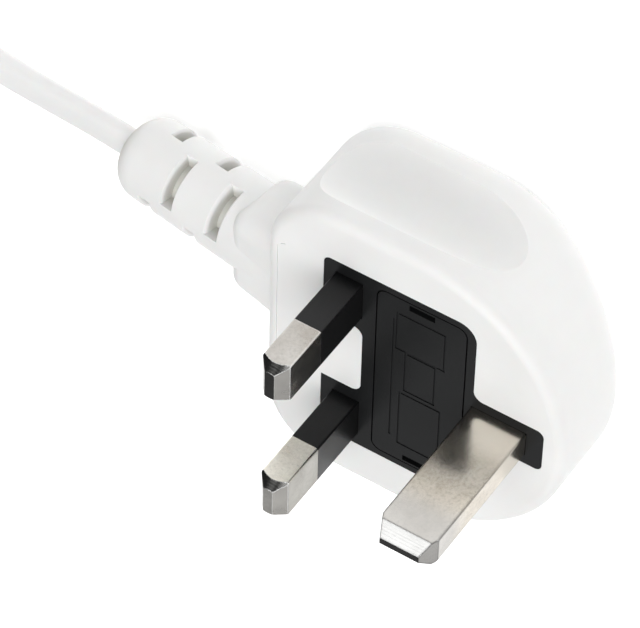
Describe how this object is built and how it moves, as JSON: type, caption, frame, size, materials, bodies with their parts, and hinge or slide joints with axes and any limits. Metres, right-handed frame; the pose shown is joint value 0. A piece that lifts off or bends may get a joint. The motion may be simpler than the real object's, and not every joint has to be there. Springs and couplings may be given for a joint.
{
  "type": "moulded mains plug with lead",
  "caption": "White moulded mains plug with flat pins, a pull-out fuse carrier in its black face, a slotted strain relief and a flat lead to a small appliance connector.",
  "frame": {"origin": "on the flat back of the plug, under the point midway between the line and neutral pins", "axes": "+X from the lead towards the earth pin, +Y towards the line pin, +Z out of the face along the pins"},
  "size_m": [0.1732, 0.0681, 0.0431],
  "materials": {
    "white_pvc": "satin moulded PVC",
    "black_moulding": "satin",
    "pin_sleeve": "satin",
    "nickel_brass": "nickel plated, polished",
    "spring_brass": "bare, drawn",
    "copper": "stranded copper",
    "brown_insulation": "matt PVC",
    "blue_insulation": "matt PVC",
    "lead_sheath": "satin PVC",
    "fuse_ceramic": "glazed ceramic"
  },
  "bodies": {
    "plug": {"plug_body": "white_pvc", "pin_carrier": "black_moulding", "carrier_cover": "black_moulding", "line_pin": "nickel_brass", "neutral_pin": "nickel_brass", "earth_pin": "nickel_brass", "line_pin_sleeve": "pin_sleeve", "neutral_pin_sleeve": "pin_sleeve", "line_fuse_clip": "spring_brass", "load_fuse_clip": "spring_brass", "sheath_end": "lead_sheath", "brown_core": "brown_insulation", "blue_core": "blue_insulation", "brown_conductor": "copper", "blue_conductor": "copper", "mains_lead": "lead_sheath", "cord_coil": "lead_sheath", "lead_tail": "lead_sheath", "connector_body": "white_pvc", "connector_contact_1": "spring_brass", "connector_contact_2": "spring_brass"},
    "fuse_drawer": {"fuse_carrier": "black_moulding", "fuse_tube": "fuse_ceramic", "fuse_cap_line": "nickel_brass", "fuse_cap_load": "nickel_brass", "fuse_wire": "copper"}
  },
  "joints": [
    {"name": "fuse_carrier_slide", "type": "slide", "parent": "plug", "child": "fuse_drawer", "axis": [0, 0, 1], "range_m": [0, 0.012]}
  ]
}
